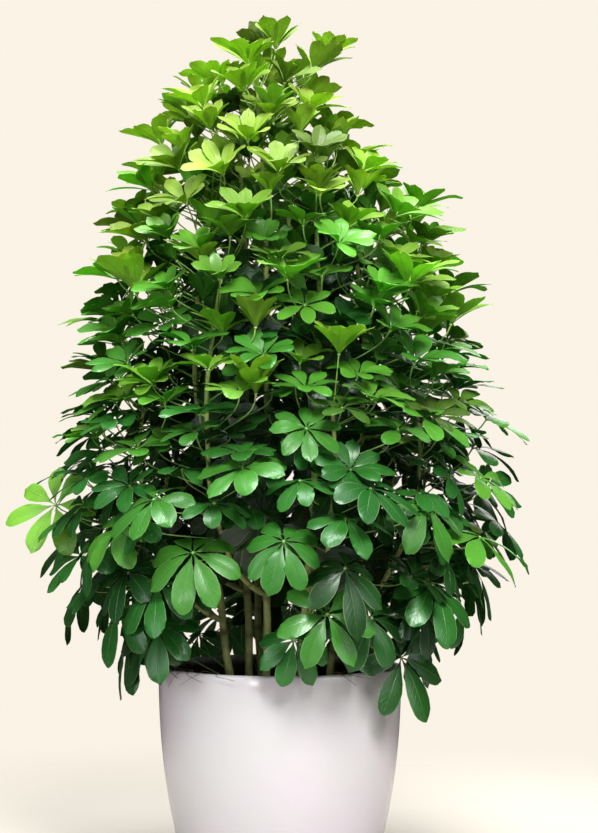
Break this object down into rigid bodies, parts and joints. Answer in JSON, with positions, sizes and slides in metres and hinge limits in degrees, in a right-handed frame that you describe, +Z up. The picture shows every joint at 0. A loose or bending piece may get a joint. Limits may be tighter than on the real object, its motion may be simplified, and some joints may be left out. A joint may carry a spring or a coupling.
{
  "type": "potted umbrella plant",
  "caption": "Bushy umbrella plant: leafy canes with palm-shaped whorls of leaflets on long stalks, standing in soil in a round white pot that narrows to its foot.",
  "frame": {"origin": "centre of the pot's flat underside, on the surface that it stands on", "axes": "+Z up along the pot's axis, -Y towards the front, +X to the right as seen from the front"},
  "size_m": [0.8241, 0.7741, 1.3322],
  "materials": {
    "pot_glaze": "gloss",
    "potting_soil": "matte",
    "foliage": "gloss"
  },
  "bodies": {
    "root": {"pot": "pot_glaze", "soil": "potting_soil", "front_left_cane": "foliage", "front_right_cane": "foliage", "right_cane": "foliage", "back_right_cane": "foliage", "back_cane": "foliage", "back_left_cane": "foliage", "left_cane": "foliage", "near_left_cane": "foliage"}
  },
  "joints": []
}
